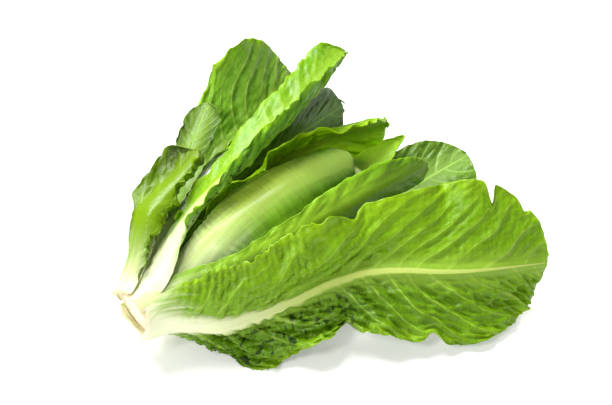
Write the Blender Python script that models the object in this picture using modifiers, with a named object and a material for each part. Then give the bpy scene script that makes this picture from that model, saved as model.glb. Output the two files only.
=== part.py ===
"""A head of romaine lettuce lying on its side, cut from its root, with its outer leaves fallen open.

The leaves grow from a short core. Each one is placed by three values along its midrib:
the distance from a centre just behind the cut, the turn around the head's axis
(0 is the top, 90 the front, 180 underneath, -90 the back) and the splay away from that axis.
Leaves are laid on from the heart outwards, and each is pushed clear of those already there.
"""

import math

import bpy
import mathutils
import numpy as np

MM = 0.001

# The head as a whole: where its axis points, and the stump that the leaves grow from.
HEAD_HEADING = math.radians(36)
HEAD_TILT = math.radians(13)
CUT_HEIGHT = 26 * MM
ROOT_BEHIND_CUT = 45 * MM
CORE_RADIUS = 13.5 * MM
CORE_LENGTH = 46 * MM

# One leaf: its blade, the thicker midrib down its outer side, and the room left around it.
BLADE_AT_BASE = 1.3 * MM
BLADE_AT_TIP = 1.0 * MM
RIB_RISE = 3.0 * MM
RIB_HALF_WIDTH_AT_BASE = 8.3 * MM
RIB_HALF_WIDTH_AT_TIP = 1.8 * MM
CLEARANCE = 0.65 * MM
TIGHTEST_CURL = 12 * MM
MOST_CURL = math.radians(150)
FLOOR_EASE = 6 * MM

# How finely the leaves are meshed, and the cells in which the room they take is noted.
LEAF_COLUMNS = 8
ROW_LENGTH = 15 * MM
FEWEST_ROWS = 8
DISTANCE_CELL = 2 * MM
TURN_CELL = math.radians(1.5)
DISTANCE_CELLS = 190
TURN_CELLS = 240
FINER = 6

# Linear colours.
CORE_COLOUR = (0.72, 0.62, 0.36)
HEART_COLOUR = (0.62, 0.66, 0.22)
OUTER_COLOUR = (0.14, 0.32, 0.03)

# A leaf's two sides: what their half width and their roll are called, and their place in hug.
SIDES = (("left", "roll", 0), ("right", "right_roll", 1))


def leaf(name, height, length, turn, splay, left, right, hug=(1, 1), **more):
    """One row of the leaf list. Lengths are in millimetres and angles in degrees.

    height: of the leaf's foot above the cut. turn, splay: of the midrib, at even steps from foot
    to tip. left, right: half widths, left being the side of smaller turn. hug: how far each side
    curls round the head, 1 all the way. roll, right_roll: how far the sides lean outwards.
    """
    values = dict(roll=(0, 0), floor=None, rib=1.0, round_from=0.8)
    values.update(more)
    values.setdefault("right_roll", values["roll"])
    return dict(
        values, name=name, height=height, length=length, turn=turn, splay=splay,
        left=left, right=right, hug=hug,
    )


# From the heart outwards.
LEAVES = [
    leaf("heart_leaf_1", 40, 105, (-60, -60), (3, 3, 2.5, 1.5), (5, 9, 14, 15), (5, 9, 14, 15)),
    leaf("heart_leaf_2", 38, 118, (120, 120), (5, 4.5, 3.5, 2), (6, 11, 18, 18), (6, 11, 18, 18)),
    leaf("heart_leaf_3", 35, 130, (-120, -120), (7, 6, 5, 3), (7, 14, 23, 24), (7, 14, 23, 24)),
    leaf("heart_leaf_4", 32, 140, (0, 0), (9, 7.5, 6, 3), (8, 15, 25, 26), (8, 15, 25, 26)),
    leaf("heart_leaf_5", 30, 150, (-150, -160), (10, 7, 5, 2.5), (7, 13, 22, 22), (7, 13, 22, 22),
         (0.8, 0.8)),
    leaf("heart_leaf_pale", 27, 145, (35, 24, 16, 14, 20), (14.5, 12, 8.6, 4.5),
         (14, 19, 31, 34), (14, 18, 27, 30)),
    leaf("back_leaf_small", 25, 196, (-165, -160, -150), (11, 9, 5, 2.5),
         (12, 16, 14, 8), (12, 16, 14, 8), (0.8, 0.8)),
    leaf("back_leaf_ruffled", 23, 195, (-125, -95, -88, -95), (13, 12, 9, 4),
         (14, 22, 30, 36), (14, 22, 30, 30), (0.9, 0.9), roll=(0, 0, -20)),
    leaf("front_leaf_folded", 21, 190, (80, 70, 70, 76, 90), (15, 13, 10, 8),
         (14, 12, 16, 16), (14, 16, 26, 26), (0.9, 0.9)),
    leaf("back_leaf_round", 18, 240, (165, 165, 160, 160), (16, 12, 9, 8),
         (14, 18, 26, 36, 36), (14, 20, 28, 30, 28), (0.6, 0.6), roll=(0, -10, -30, -40)),
    leaf("back_leaf_dark", 16, 198, (-105, -88, -95), (17, 16, 14, 12.5),
         (12, 18, 34, 40, 40), (12, 16, 24, 34, 34), (0.5, 0.5), roll=(0, -5, 0)),
    leaf("under_leaf_inner", 15, 200, (-150, -155, -160), (17, 15, 13, 12),
         (12, 20, 36, 40), (12, 20, 36, 40), (0.5, 0.5), floor=16),
    leaf("upper_leaf_long", 13, 211, (-15, -20, -20, -32, -50), (17, 16.5, 14.5, 14),
         (11, 18, 21, 22, 22), (12, 16, 24, 24, 12), (0.3, -4.5),
         roll=(0, -15, -25, -55, -75), right_roll=(0, -10, -15, -15), round_from=0.93),
    leaf("upper_leaf_broad", 11, 195, (-70, -76, -78, -78, -80), (19, 22, 19.6, 19.8),
         (10, 14, 24, 52, 75), (9, 13, 16, 16, 12), (-0.2, 0.6),
         roll=(0, -60, -115, -138, -155), right_roll=(0, -20, -20), round_from=0.72),
    leaf("left_leaf_back", 9, 132, (-64, -57, -56, -55), (21, 25.5, 28),
         (9, 12, 13, 15), (10, 15, 20, 20), (-0.2, 0.6),
         roll=(0, -60, -80, -80), right_roll=(-20, -50, -45, -45)),
    leaf("left_leaf_short", 6, 60, (-64, -62, -62), (24, 28, 31),
         (12, 18, 16), (10, 13, 11), (0.2, 0.2), roll=(-10, -45, -45), right_roll=(0, -50, -50)),
    leaf("left_leaf_curled", 5, 100, (-46, -42, -42, -42), (19, 19.5, 19),
         (8, 8, 23, 31), (10, 13, 11, 10), (-0.8, 0.6),
         roll=(0, -40, -45, -50), right_roll=(-20, -50, -45)),
    leaf("under_leaf_middle", 7, 225, (165, 162, 158), (19, 18, 17, 16),
         (12, 20, 36, 42), (14, 26, 44, 46), (0.5, 0.2), floor=8),
    leaf("under_leaf_outer", 4, 205, (-165, -168, -170), (21, 19.5, 20, 20),
         (14, 26, 44, 46), (14, 26, 44, 46), (0.3, 0.2), floor=-9),
    leaf("front_outer_leaf", 3, 262, (134, 121, 111, 113, 119), (22, 20, 23.5, 24),
         (23, 42, 50, 59, 54), (27, 51, 33, 39, 46, 48, 41), (0.25, 0.1),
         roll=(0, 55, 62, 60, 50), right_roll=(45, 85, 78, 66, 42), floor=-10, rib=1.4),
]

AXIS = np.array([
    math.cos(HEAD_TILT) * math.cos(HEAD_HEADING),
    math.cos(HEAD_TILT) * math.sin(HEAD_HEADING),
    math.sin(HEAD_TILT),
])
FRONT = np.array([math.sin(HEAD_HEADING), -math.cos(HEAD_HEADING), 0.0])
TOP = np.cross(FRONT, AXIS)
ROOT = np.array([0.0, 0.0, CUT_HEIGHT]) - AXIS * ROOT_BEHIND_CUT


def place(distance, turn, splay):
    """Points in the world from their distance, turn and splay."""
    outwards = np.cos(turn)[..., None] * TOP + np.sin(turn)[..., None] * FRONT
    direction = np.sin(splay)[..., None] * outwards + np.cos(splay)[..., None] * AXIS
    return ROOT + distance[..., None] * direction


def locate(points):
    """The distance, turn and splay of points in the world."""
    offset = points - ROOT
    up = offset @ TOP
    front = offset @ FRONT
    distance = np.linalg.norm(offset, axis=-1)
    return distance, np.arctan2(front, up), np.arctan2(np.hypot(up, front), offset @ AXIS)


def along(values, u):
    """A smooth curve through values given at even steps from 0 to 1, read at u."""
    values = np.asarray(values, float)
    last = len(values) - 1
    slope = np.gradient(values) if last > 1 else np.full(2, values[1] - values[0])
    index = np.clip((u * last).astype(int), 0, last - 1)
    t = u * last - index
    return (
        (2 * t**3 - 3 * t**2 + 1) * values[index] + (t**3 - 2 * t**2 + t) * slope[index]
        + (3 * t**2 - 2 * t**3) * values[index + 1] + (t**3 - t**2) * slope[index + 1]
    )


def core_radius(height):
    """The core's radius at a height above the cut: broad where it was cut, tapering to a point."""
    return CORE_RADIUS * (1 - np.clip(height / CORE_LENGTH, 0, 1) ** 1.3)


def half_width(leaf_row, side, u):
    """Half the leaf's width at u, closing in a rounded tip."""
    start = leaf_row["round_from"]
    tip = np.clip((u - start) / (1 - start), 0, 1)
    return along(leaf_row[side], u) * MM * np.sqrt(np.maximum(0.012, 1 - tip**2.3))


def midrib(leaf_row, u):
    """The midrib's points, with its outward and sideways directions and its radius of curl."""
    foot = leaf_row["height"] * MM
    distance = ROOT_BEHIND_CUT + foot + u * leaf_row["length"] * MM
    start = math.atan2(core_radius(foot) + CLEARANCE, ROOT_BEHIND_CUT + foot)
    splay = along((start, *np.radians(leaf_row["splay"])), u)
    turn = np.radians(along(leaf_row["turn"], u))
    middle = place(distance, turn, splay)
    forward = np.gradient(middle, axis=0)
    forward /= np.linalg.norm(forward, axis=-1, keepdims=True)
    outward = np.cos(turn)[..., None] * TOP + np.sin(turn)[..., None] * FRONT
    outward -= (outward * forward).sum(axis=-1, keepdims=True) * forward
    outward /= np.linalg.norm(outward, axis=-1, keepdims=True)
    sideways = np.cross(forward, outward)
    return middle, outward, sideways, np.maximum(distance * np.sin(splay), TIGHTEST_CURL)


def settle(points, floor):
    """Bends a leaf level where it comes near the surface that the head lies on."""
    eased_from = floor + FLOOR_EASE
    drop = np.minimum((points[..., 2] - eased_from) / FLOOR_EASE, 0)
    points[..., 2] = np.where(drop < 0, floor + FLOOR_EASE * np.exp(drop), points[..., 2])


def leaf_sheet(leaf_row, u, v):
    """The leaf's inner face, before it is pushed clear. u runs from foot to tip, v from side to side."""
    middle, outward, sideways, radius = midrib(leaf_row, u)
    opened = np.clip(u / 0.35, 0, 1)
    opened = opened * opened * (3 - 2 * opened)
    points = np.zeros((len(u), len(v), 3))
    for column, across in enumerate(v):
        side, roll_name, hug = SIDES[0 if across < 0 else 1]
        roll = np.radians(along(leaf_row[roll_name], u))[:, None]
        reach = sideways * np.cos(roll) + outward * np.sin(roll)
        facing = outward * np.cos(roll) - sideways * np.sin(roll)
        bend = (1 + (leaf_row["hug"][hug] - 1) * opened) / radius
        bend = np.where(np.abs(bend) < 0.001, 0.001, bend)
        arc = np.clip(bend * abs(across) * half_width(leaf_row, side, u), -MOST_CURL, MOST_CURL)
        points[:, column] = (
            middle + reach * (np.sign(across) * np.sin(arc) / bend)[:, None]
            - facing * ((1 - np.cos(arc)) / bend)[:, None]
        )
    if leaf_row["floor"] is not None:
        settle(points, leaf_row["floor"] * MM)
    return points


def leaf_thickness(leaf_row, u, v):
    """The blade's thickness, with the midrib standing on its outer side."""
    across = np.stack([
        abs(side) * half_width(leaf_row, "left" if side < 0 else "right", u) for side in v
    ], axis=1)
    down = 1 - u[:, None]
    blade = BLADE_AT_TIP + (BLADE_AT_BASE - BLADE_AT_TIP) * down
    rib_width = RIB_HALF_WIDTH_AT_TIP + (RIB_HALF_WIDTH_AT_BASE - RIB_HALF_WIDTH_AT_TIP) * down**0.8
    thinner_foot = 1 - 0.6 * np.exp(-((1 - down) / 0.12) ** 2)
    rise = RIB_RISE * leaf_row["rib"] * np.sqrt(down) * thinner_foot
    return blade + rise * np.exp(-((across / rib_width) ** 2))


def finer(points):
    """The same sheet with FINER times as many rows and columns."""
    for _ in range(2):
        steps = [points[:-1] + (points[1:] - points[:-1]) * step / FINER for step in range(FINER)]
        inner = np.stack(steps, axis=1).reshape((-1,) + points.shape[1:])
        points = np.concatenate([inner, points[-1:]]).swapaxes(0, 1)
    return points


def cells(distance, turn):
    """The cells of the map that hold these distances and turns."""
    row = np.clip(np.rint(distance / DISTANCE_CELL).astype(int), 0, DISTANCE_CELLS - 1)
    return row, np.rint(turn / TURN_CELL).astype(int) % TURN_CELLS


def fill(taken, points):
    """Notes in the map the largest splay that these points reach in each cell."""
    distance, turn, splay = locate(points)
    np.maximum.at(taken, cells(distance, turn), splay)


def push_clear(points, taken):
    """Moves a leaf's inner face outwards, smoothly, until it is clear of all that is in the map."""
    around = taken.copy()
    for row_step in (-1, 0, 1):
        for turn_step in (-1, 0, 1):
            around = np.maximum(around, np.roll(taken, (row_step, turn_step), axis=(0, 1)))
    distance, turn, splay = locate(finer(points))
    needed = around[cells(distance, turn)]
    fine_push = np.where(needed > 0, needed + CLEARANCE / distance - splay, 0)
    least = np.zeros(points.shape[:2])
    for row_step in range(1 - FINER, FINER):
        for column_step in range(1 - FINER, FINER):
            rows = np.clip(np.arange(points.shape[0]) * FINER + row_step, 0, fine_push.shape[0] - 1)
            columns = np.clip(np.arange(points.shape[1]) * FINER + column_step, 0, fine_push.shape[1] - 1)
            least = np.maximum(least, fine_push[np.ix_(rows, columns)])
    push = least
    for _ in range(3):
        padded = np.pad(push, 1, mode="edge")
        beside = padded[:-2, 1:-1] + padded[2:, 1:-1] + padded[1:-1, :-2] + padded[1:-1, 2:]
        push = np.maximum((beside + 2 * push) / 6, least)
    distance, turn, splay = locate(points)
    return place(distance, turn, splay + push)


def material(name, colour, roughness):
    """A plain material. The colour is linear red, green and blue."""
    made = bpy.data.materials.new(name)
    made.use_nodes = True
    shader = made.node_tree.nodes["Principled BSDF"]
    shader.inputs["Base Color"].default_value = (*colour, 1)
    shader.inputs["Roughness"].default_value = roughness
    shader.inputs["Metallic"].default_value = 0
    return made


def into_collection(made, collection):
    """Moves an object out of its collections and into this one."""
    for holder in made.users_collection:
        holder.objects.unlink(made)
    collection.objects.link(made)


def make_core(collection):
    """The solid stump: a profile turned round the head's axis, flat where it was cut."""
    heights = np.linspace(CORE_LENGTH, 0, 10)
    profile = [(float(core_radius(height)), 0, float(height)) for height in heights]
    profile.append((0, 0, 0))
    mesh = bpy.data.meshes.new("core_stem")
    mesh.from_pydata(profile, [(index, index + 1) for index in range(len(profile) - 1)], [])
    core = bpy.data.objects.new("core_stem", mesh)
    collection.objects.link(core)
    turned = core.modifiers.new("turned", "SCREW")
    turned.steps = 24
    turned.render_steps = 24
    turned.use_merge_vertices = True
    turned.merge_threshold = 0.00001
    core.rotation_mode = "QUATERNION"
    core.rotation_quaternion = mathutils.Vector(AXIS).to_track_quat("Z", "Y")
    core.location = ROOT + AXIS * ROOT_BEHIND_CUT
    core.data.materials.append(material("core_flesh", CORE_COLOUR, 0.5))
    return core


def note_core(taken):
    """Notes in the map the room that the core takes."""
    height = np.linspace(0, CORE_LENGTH, 200)
    from_root = ROOT_BEHIND_CUT + height
    distance = np.hypot(from_root, core_radius(height))
    splay = np.arctan2(core_radius(height), from_root)
    rows = np.rint(distance / DISTANCE_CELL).astype(int)
    for turn_index in range(TURN_CELLS):
        np.maximum.at(taken, (rows, turn_index), splay)


def make_leaf(leaf_row, colour, taken, collection):
    """A leaf: a sheet bent to its shape and pushed clear, then thickened on its outer side."""
    rows = max(FEWEST_ROWS, round(leaf_row["length"] * MM / ROW_LENGTH) + 2)
    bpy.ops.mesh.primitive_grid_add(x_subdivisions=LEAF_COLUMNS, y_subdivisions=rows, size=2)
    made = bpy.context.object
    made.name = leaf_row["name"]
    made.data.name = leaf_row["name"]
    into_collection(made, collection)

    # Columns lie closer beside the midrib, and rows closer at the foot and the tip.
    across = np.linspace(-1, 1, LEAF_COLUMNS + 1)
    up = np.linspace(0, 1, rows + 1)
    u = up - 0.1 * np.sin(2 * math.pi * up)
    v = across * (0.55 + 0.45 * across**2)
    inner = push_clear(leaf_sheet(leaf_row, u, v), taken)
    thickness = leaf_thickness(leaf_row, u, v)

    # Each point of the flat grid takes the place of its row and column in the leaf.
    cell_of = [
        (round((point.co.y + 1) / 2 * rows), round((point.co.x + 1) / 2 * LEAF_COLUMNS))
        for point in made.data.vertices
    ]
    thickest = float(thickness.max())
    group = made.vertex_groups.new(name="thickness")
    for point, cell in zip(made.data.vertices, cell_of):
        point.co = inner[cell]
        group.add([point.index], float(thickness[cell]) / thickest, "REPLACE")
    made.data.shade_smooth()
    made.data.update()
    thickened = made.modifiers.new("thickened", "SOLIDIFY")
    thickened.thickness = thickest
    thickened.offset = 1
    thickened.vertex_group = "thickness"
    made.data.materials.append(material(leaf_row["name"], colour, 0.45))

    outer = inner.copy()
    for point, cell in zip(made.data.vertices, cell_of):
        outer[cell] += np.array(point.normal) * thickness[cell]
    for part_way in (0, 0.5, 1):
        fill(taken, finer(inner + (outer - inner) * part_way))
    return made


def rest_on_ground(pieces):
    """Sets the pieces down: lowest point at height 0, middle of their box over the origin."""
    bpy.context.view_layer.update()
    graph = bpy.context.evaluated_depsgraph_get()
    corners = []
    for piece in pieces:
        solid = piece.evaluated_get(graph)
        corners += [solid.matrix_world @ point.co for point in solid.data.vertices]
    corners = np.array(corners)
    low = corners.min(axis=0)
    high = corners.max(axis=0)
    shift = mathutils.Vector((-(low[0] + high[0]) / 2, -(low[1] + high[1]) / 2, -low[2]))
    for piece in pieces:
        piece.location += shift


def main():
    for leftover in list(bpy.data.objects):
        bpy.data.objects.remove(leftover)
    collection = bpy.data.collections.new("romaine_lettuce_head")
    bpy.context.scene.collection.children.link(collection)

    taken = np.zeros((DISTANCE_CELLS, TURN_CELLS))
    note_core(taken)
    pieces = [make_core(collection)]
    for index, leaf_row in enumerate(LEAVES):
        outwards = index / (len(LEAVES) - 1)
        colour = [
            inmost + (outmost - inmost) * outwards
            for inmost, outmost in zip(HEART_COLOUR, OUTER_COLOUR)
        ]
        pieces.append(make_leaf(leaf_row, colour, taken, collection))
    rest_on_ground(pieces)


main()
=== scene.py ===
# %% [markdown]
# # A head of romaine lettuce
#
# A romaine head is a short white stump with long leaves growing from it. Each leaf has a thick
# pale midrib and a thin green blade, puckered between its veins and wavy at its edge. This one has
# been opened: the heart is still closed, and the outer leaves have fallen to either side.
#
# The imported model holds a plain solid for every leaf. Here each one is made again in the same
# place, but fine enough to carry its veins, puckers and ruffled edge.

# %% The frame that the looks are built on
import math

import bpy
import mathutils
import numpy as np
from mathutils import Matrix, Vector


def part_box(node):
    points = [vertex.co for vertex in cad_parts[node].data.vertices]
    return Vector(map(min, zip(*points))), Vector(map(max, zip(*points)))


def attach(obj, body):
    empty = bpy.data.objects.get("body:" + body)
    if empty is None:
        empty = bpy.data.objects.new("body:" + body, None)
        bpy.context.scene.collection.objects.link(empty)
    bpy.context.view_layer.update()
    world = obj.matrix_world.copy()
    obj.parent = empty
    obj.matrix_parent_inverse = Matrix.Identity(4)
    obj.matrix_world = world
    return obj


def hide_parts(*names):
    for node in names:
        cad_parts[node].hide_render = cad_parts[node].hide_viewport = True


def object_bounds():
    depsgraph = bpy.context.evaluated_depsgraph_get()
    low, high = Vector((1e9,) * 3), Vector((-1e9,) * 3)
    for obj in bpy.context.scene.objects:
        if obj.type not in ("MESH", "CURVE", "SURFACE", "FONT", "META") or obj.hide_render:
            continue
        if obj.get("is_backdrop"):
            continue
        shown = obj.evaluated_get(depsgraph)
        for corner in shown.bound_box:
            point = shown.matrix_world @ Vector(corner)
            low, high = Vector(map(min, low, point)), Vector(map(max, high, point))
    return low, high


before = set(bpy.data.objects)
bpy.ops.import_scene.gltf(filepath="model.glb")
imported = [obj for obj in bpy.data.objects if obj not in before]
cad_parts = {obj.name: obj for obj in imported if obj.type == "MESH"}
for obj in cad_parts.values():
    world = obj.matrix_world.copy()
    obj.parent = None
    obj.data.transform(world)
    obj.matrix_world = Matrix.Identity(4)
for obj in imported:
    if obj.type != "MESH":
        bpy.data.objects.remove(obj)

cad_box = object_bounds()
bpy.ops.object.select_all(action="DESELECT")
print("packed model:", len(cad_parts), "nodes")

# %% [markdown]
# ## Where everything lies
#
# The leaves all point away from one centre just behind the cut, like the ribs of a half open fan.
# So a point is given by its distance from that centre, its turn around the head's axis and its
# splay away from it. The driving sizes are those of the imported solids.

# %% Driving sizes
MM = 0.001
HEAD_HEADING = math.radians(36)
HEAD_TILT = math.radians(13)
CUT_HEIGHT = 26 * MM
ROOT_BEHIND_CUT = 45 * MM
CORE_RADIUS = 13.5 * MM
CORE_LENGTH = 46 * MM
CLEARANCE = 0.65 * MM
TIGHTEST_CURL = 12 * MM
MOST_CURL = math.radians(150)
LEAST_BEND = 0.001
FLOOR_EASE = 6 * MM
OPENED_BY = 0.35
BLADE_AT_BASE = 1.3 * MM
BLADE_AT_TIP = 1.0 * MM
RIB_RISE = 3.0 * MM
RIB_HALF_WIDTH_AT_BASE = 8.3 * MM
RIB_HALF_WIDTH_AT_TIP = 1.8 * MM
LEAF_COLUMNS = 8
ROW_LENGTH = 15 * MM
FEWEST_ROWS = 8
DISTANCE_CELL = 2 * MM
TURN_CELL = math.radians(1.5)
DISTANCE_CELLS = 190
TURN_CELLS = 240
FINER = 6
SIDES = (("left", "roll", 0), ("right", "right_roll", 1))

AXIS = np.array([
    math.cos(HEAD_TILT) * math.cos(HEAD_HEADING),
    math.cos(HEAD_TILT) * math.sin(HEAD_HEADING),
    math.sin(HEAD_TILT),
])
FRONT = np.array([math.sin(HEAD_HEADING), -math.cos(HEAD_HEADING), 0.0])
TOP = np.cross(FRONT, AXIS)
ROOT = np.array([0.0, 0.0, CUT_HEIGHT]) - AXIS * ROOT_BEHIND_CUT

# The head was then set down on the ground: SHIFT is how far, from where the stump's box lies.
cut_low = np.array([0.0, 0.0, CUT_HEIGHT]) - CORE_RADIUS * np.sqrt(1 - AXIS**2)
SHIFT = np.array(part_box("core_stem")[0]) - cut_low
print("set down by, mm:", np.round(SHIFT / MM, 2))


# %% Distance, turn and splay
def ease(value, start, end):
    """0 before start, 1 after end, and smooth between."""
    t = np.clip((value - start) / (end - start), 0, 1)
    return t * t * (3 - 2 * t)


def unit(vectors):
    """The same directions, each one metre long."""
    return vectors / np.maximum(np.linalg.norm(vectors, axis=-1, keepdims=True), 1e-12)


def away_at(turn):
    """The direction straight away from the axis at each turn."""
    return np.cos(turn)[..., None] * TOP + np.sin(turn)[..., None] * FRONT


def place(distance, turn, splay):
    """Points in the world from their distance, turn and splay."""
    direction = np.sin(splay)[..., None] * away_at(turn) + np.cos(splay)[..., None] * AXIS
    return ROOT + distance[..., None] * direction


def locate(points):
    """The distance, turn and splay of points in the world."""
    offset = points - ROOT
    up = offset @ TOP
    front = offset @ FRONT
    distance = np.linalg.norm(offset, axis=-1)
    return distance, np.arctan2(front, up), np.arctan2(np.hypot(up, front), offset @ AXIS)


def from_axis(points):
    """The height above the cut, the turn and the distance from the axis of points in the world."""
    distance, turn, splay = locate(points)
    return distance * np.cos(splay) - ROOT_BEHIND_CUT, turn, distance * np.sin(splay)


def round_axis(height, turn, radius):
    """Points in the world from their height above the cut, turn and distance from the axis."""
    return ROOT + AXIS * (ROOT_BEHIND_CUT + height)[..., None] + away_at(turn) * radius[..., None]


def curved(t, here, slope_here, there, slope_there):
    """Where a smooth curve from here to there, with these slopes at its ends, is at t."""
    return (
        (2 * t**3 - 3 * t**2 + 1) * here + (t**3 - 2 * t**2 + t) * slope_here
        + (3 * t**2 - 2 * t**3) * there + (t**3 - t**2) * slope_there
    )


def along(values, u):
    """A smooth curve through values given at even steps from 0 to 1, read at u."""
    values = np.asarray(values, float)
    last = len(values) - 1
    slope = np.gradient(values) if last > 1 else np.full(2, values[1] - values[0])
    index = np.clip((u * last).astype(int), 0, last - 1)
    t = u * last - index
    return curved(t, values[index], slope[index], values[index + 1], slope[index + 1])


# %% [markdown]
# ## The leaves
#
# One line holds one leaf, from the heart outwards, as on the real head: how far up the stump it
# grows, how long it is, where its midrib runs, how wide it is on each side, and how it curls.

# %% The list of leaves
def leaf(name, height, length, turn, splay, left, right=None, hug=(1, 1), **more):
    """One row of the leaf list. Lengths are in millimetres and angles in degrees.

    height: of the leaf's foot above the cut. turn, splay: of the midrib, at even steps from foot
    to tip. left, right: half widths, left being the side of smaller turn; without right, both are
    the same. hug: how far each side curls round the head, 1 all the way. roll, right_roll: how far
    the sides lean outwards.
    """
    row = dict(roll=(0, 0), floor=None, rib=1.0, round_from=0.8)
    row.update(more, name=name, height=height, length=length, turn=turn, splay=splay,
               left=left, right=right or left, hug=hug)
    row.setdefault("right_roll", row["roll"])
    return row


LEAVES = [
    leaf("heart_leaf_1", 40, 105, (-60, -60), (3, 3, 2.5, 1.5), (5, 9, 14, 15)),
    leaf("heart_leaf_2", 38, 118, (120, 120), (5, 4.5, 3.5, 2), (6, 11, 18, 18)),
    leaf("heart_leaf_3", 35, 130, (-120, -120), (7, 6, 5, 3), (7, 14, 23, 24)),
    leaf("heart_leaf_4", 32, 140, (0, 0), (9, 7.5, 6, 3), (8, 15, 25, 26)),
    leaf("heart_leaf_5", 30, 150, (-150, -160), (10, 7, 5, 2.5), (7, 13, 22, 22),
         hug=(0.8, 0.8)),
    leaf("heart_leaf_pale", 27, 145, (35, 24, 16, 14, 20), (14.5, 12, 8.6, 4.5),
         (14, 19, 31, 34), (14, 18, 27, 30)),
    leaf("back_leaf_small", 25, 196, (-165, -160, -150), (11, 9, 5, 2.5),
         (12, 16, 14, 8), hug=(0.8, 0.8)),
    leaf("back_leaf_ruffled", 23, 195, (-125, -95, -88, -95), (13, 12, 9, 4),
         (14, 22, 30, 36), (14, 22, 30, 30), (0.9, 0.9), roll=(0, 0, -20)),
    leaf("front_leaf_folded", 21, 190, (80, 70, 70, 76, 90), (15, 13, 10, 8),
         (14, 12, 16, 16), (14, 16, 26, 26), (0.9, 0.9)),
    leaf("back_leaf_round", 18, 240, (165, 165, 160, 160), (16, 12, 9, 8),
         (14, 18, 26, 36, 36), (14, 20, 28, 30, 28), (0.6, 0.6), roll=(0, -10, -30, -40)),
    leaf("back_leaf_dark", 16, 198, (-105, -88, -95), (17, 16, 14, 12.5),
         (12, 18, 34, 40, 40), (12, 16, 24, 34, 34), (0.5, 0.5), roll=(0, -5, 0)),
    leaf("under_leaf_inner", 15, 200, (-150, -155, -160), (17, 15, 13, 12),
         (12, 20, 36, 40), hug=(0.5, 0.5), floor=16),
    leaf("upper_leaf_long", 13, 211, (-15, -20, -20, -32, -50), (17, 16.5, 14.5, 14),
         (11, 18, 21, 22, 22), (12, 16, 24, 24, 12), (0.3, -4.5),
         roll=(0, -15, -25, -55, -75), right_roll=(0, -10, -15, -15), round_from=0.93),
    leaf("upper_leaf_broad", 11, 195, (-70, -76, -78, -78, -80), (19, 22, 19.6, 19.8),
         (10, 14, 24, 52, 75), (9, 13, 16, 16, 12), (-0.2, 0.6),
         roll=(0, -60, -115, -138, -155), right_roll=(0, -20, -20), round_from=0.72),
    leaf("left_leaf_back", 9, 132, (-64, -57, -56, -55), (21, 25.5, 28),
         (9, 12, 13, 15), (10, 15, 20, 20), (-0.2, 0.6),
         roll=(0, -60, -80, -80), right_roll=(-20, -50, -45, -45)),
    leaf("left_leaf_short", 6, 60, (-64, -62, -62), (24, 28, 31),
         (12, 18, 16), (10, 13, 11), (0.2, 0.2), roll=(-10, -45, -45), right_roll=(0, -50, -50)),
    leaf("left_leaf_curled", 5, 100, (-46, -42, -42, -42), (19, 19.5, 19),
         (8, 8, 23, 31), (10, 13, 11, 10), (-0.8, 0.6),
         roll=(0, -40, -45, -50), right_roll=(-20, -50, -45)),
    leaf("under_leaf_middle", 7, 225, (165, 162, 158), (19, 18, 17, 16),
         (12, 20, 36, 42), (14, 26, 44, 46), (0.5, 0.2), floor=8),
    leaf("under_leaf_outer", 4, 205, (-165, -168, -170), (21, 19.5, 20, 20),
         (14, 26, 44, 46), hug=(0.3, 0.2), floor=-9),
    leaf("front_outer_leaf", 3, 262, (134, 121, 111, 113, 119), (22, 20, 23.5, 24),
         (23, 42, 50, 59, 54), (27, 51, 33, 39, 46, 48, 41), (0.25, 0.1),
         roll=(0, 55, 62, 60, 50), right_roll=(45, 85, 78, 66, 42), floor=-10, rib=1.4),
]
print("leaves:", len(LEAVES))


# %% [markdown]
# ## A leaf's plain shape
#
# The sheet is bent round the head beside its midrib, rolled outwards where the leaf has fallen
# open, and eased level where it meets the table.

# %% The sheet of one leaf
def core_radius(height):
    """The core's radius at a height above the cut: broad where it was cut, tapering to a point."""
    return CORE_RADIUS * (1 - np.clip(height / CORE_LENGTH, 0, 1) ** 1.3)


def half_width(leaf_row, side, u):
    """Half the leaf's width at u, closing in a rounded tip."""
    start = leaf_row["round_from"]
    tip = np.clip((u - start) / (1 - start), 0, 1)
    return along(leaf_row[side], u) * MM * np.sqrt(np.maximum(0.012, 1 - tip**2.3))


def midrib(leaf_row, u):
    """The midrib's points, with its outward and sideways directions and its radius of curl."""
    foot = leaf_row["height"] * MM
    distance = ROOT_BEHIND_CUT + foot + u * leaf_row["length"] * MM
    start = math.atan2(core_radius(foot) + CLEARANCE, ROOT_BEHIND_CUT + foot)
    splay = along((start, *np.radians(leaf_row["splay"])), u)
    turn = np.radians(along(leaf_row["turn"], u))
    middle = place(distance, turn, splay)
    forward = unit(np.gradient(middle, axis=0))
    outward = away_at(turn)
    outward = unit(outward - (outward * forward).sum(axis=-1, keepdims=True) * forward)
    sideways = np.cross(forward, outward)
    return middle, outward, sideways, np.maximum(distance * np.sin(splay), TIGHTEST_CURL)


def settle(points, floor):
    """Bends a leaf level where it comes near the surface that the head lies on."""
    eased_from = floor + FLOOR_EASE
    drop = np.minimum((points[..., 2] - eased_from) / FLOOR_EASE, 0)
    points[..., 2] = np.where(drop < 0, floor + FLOOR_EASE * np.exp(drop), points[..., 2])


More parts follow.
